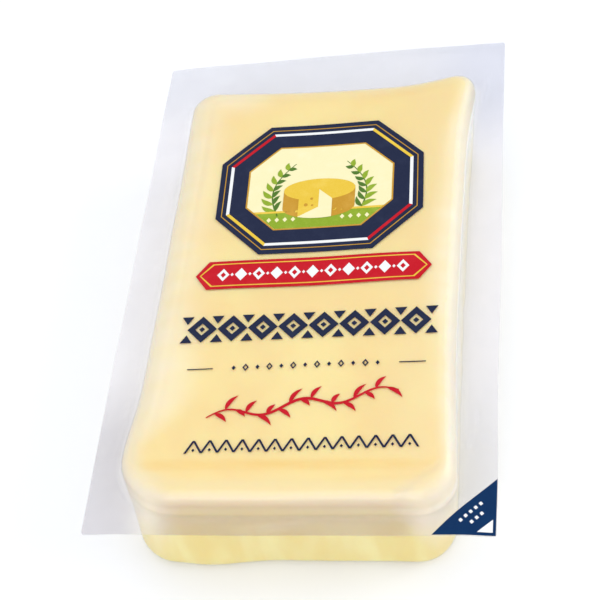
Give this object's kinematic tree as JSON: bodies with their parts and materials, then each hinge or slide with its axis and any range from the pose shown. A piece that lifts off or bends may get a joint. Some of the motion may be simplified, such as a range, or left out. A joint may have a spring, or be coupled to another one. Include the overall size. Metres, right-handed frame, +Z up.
{
  "type": "vacuum-packed block of kashkaval",
  "caption": "Block of pale yellow kashkaval cheese in a clear vacuum pack, lying flat, with a wide sealed flange all round and printed colour fields on its top film.",
  "frame": {"origin": "under the middle of the flange, on the surface that the pack lies on", "axes": "+Z up out of the printed side, +Y along the pack away from the end with the opening corner, +X to the right as the print is read"},
  "size_m": [0.104, 0.162, 0.0335],
  "materials": {
    "cheese": "smooth, faintly waxy and slightly translucent pale yellow cheese",
    "clear_film": "clear, faintly milky plastic film with a soft gloss",
    "navy_print": "opaque dark blue ink under the gloss of the film",
    "red_print": "opaque red ink under the gloss of the film",
    "gold_print": "opaque gold-yellow ink under the gloss of the film",
    "green_print": "opaque yellow-green ink under the gloss of the film",
    "white_print": "opaque white and cream ink under the gloss of the film"
  },
  "bodies": {
    "root": {"cheese_block": "cheese", "bottom_film": "clear_film", "top_film": "clear_film"}
  },
  "joints": []
}
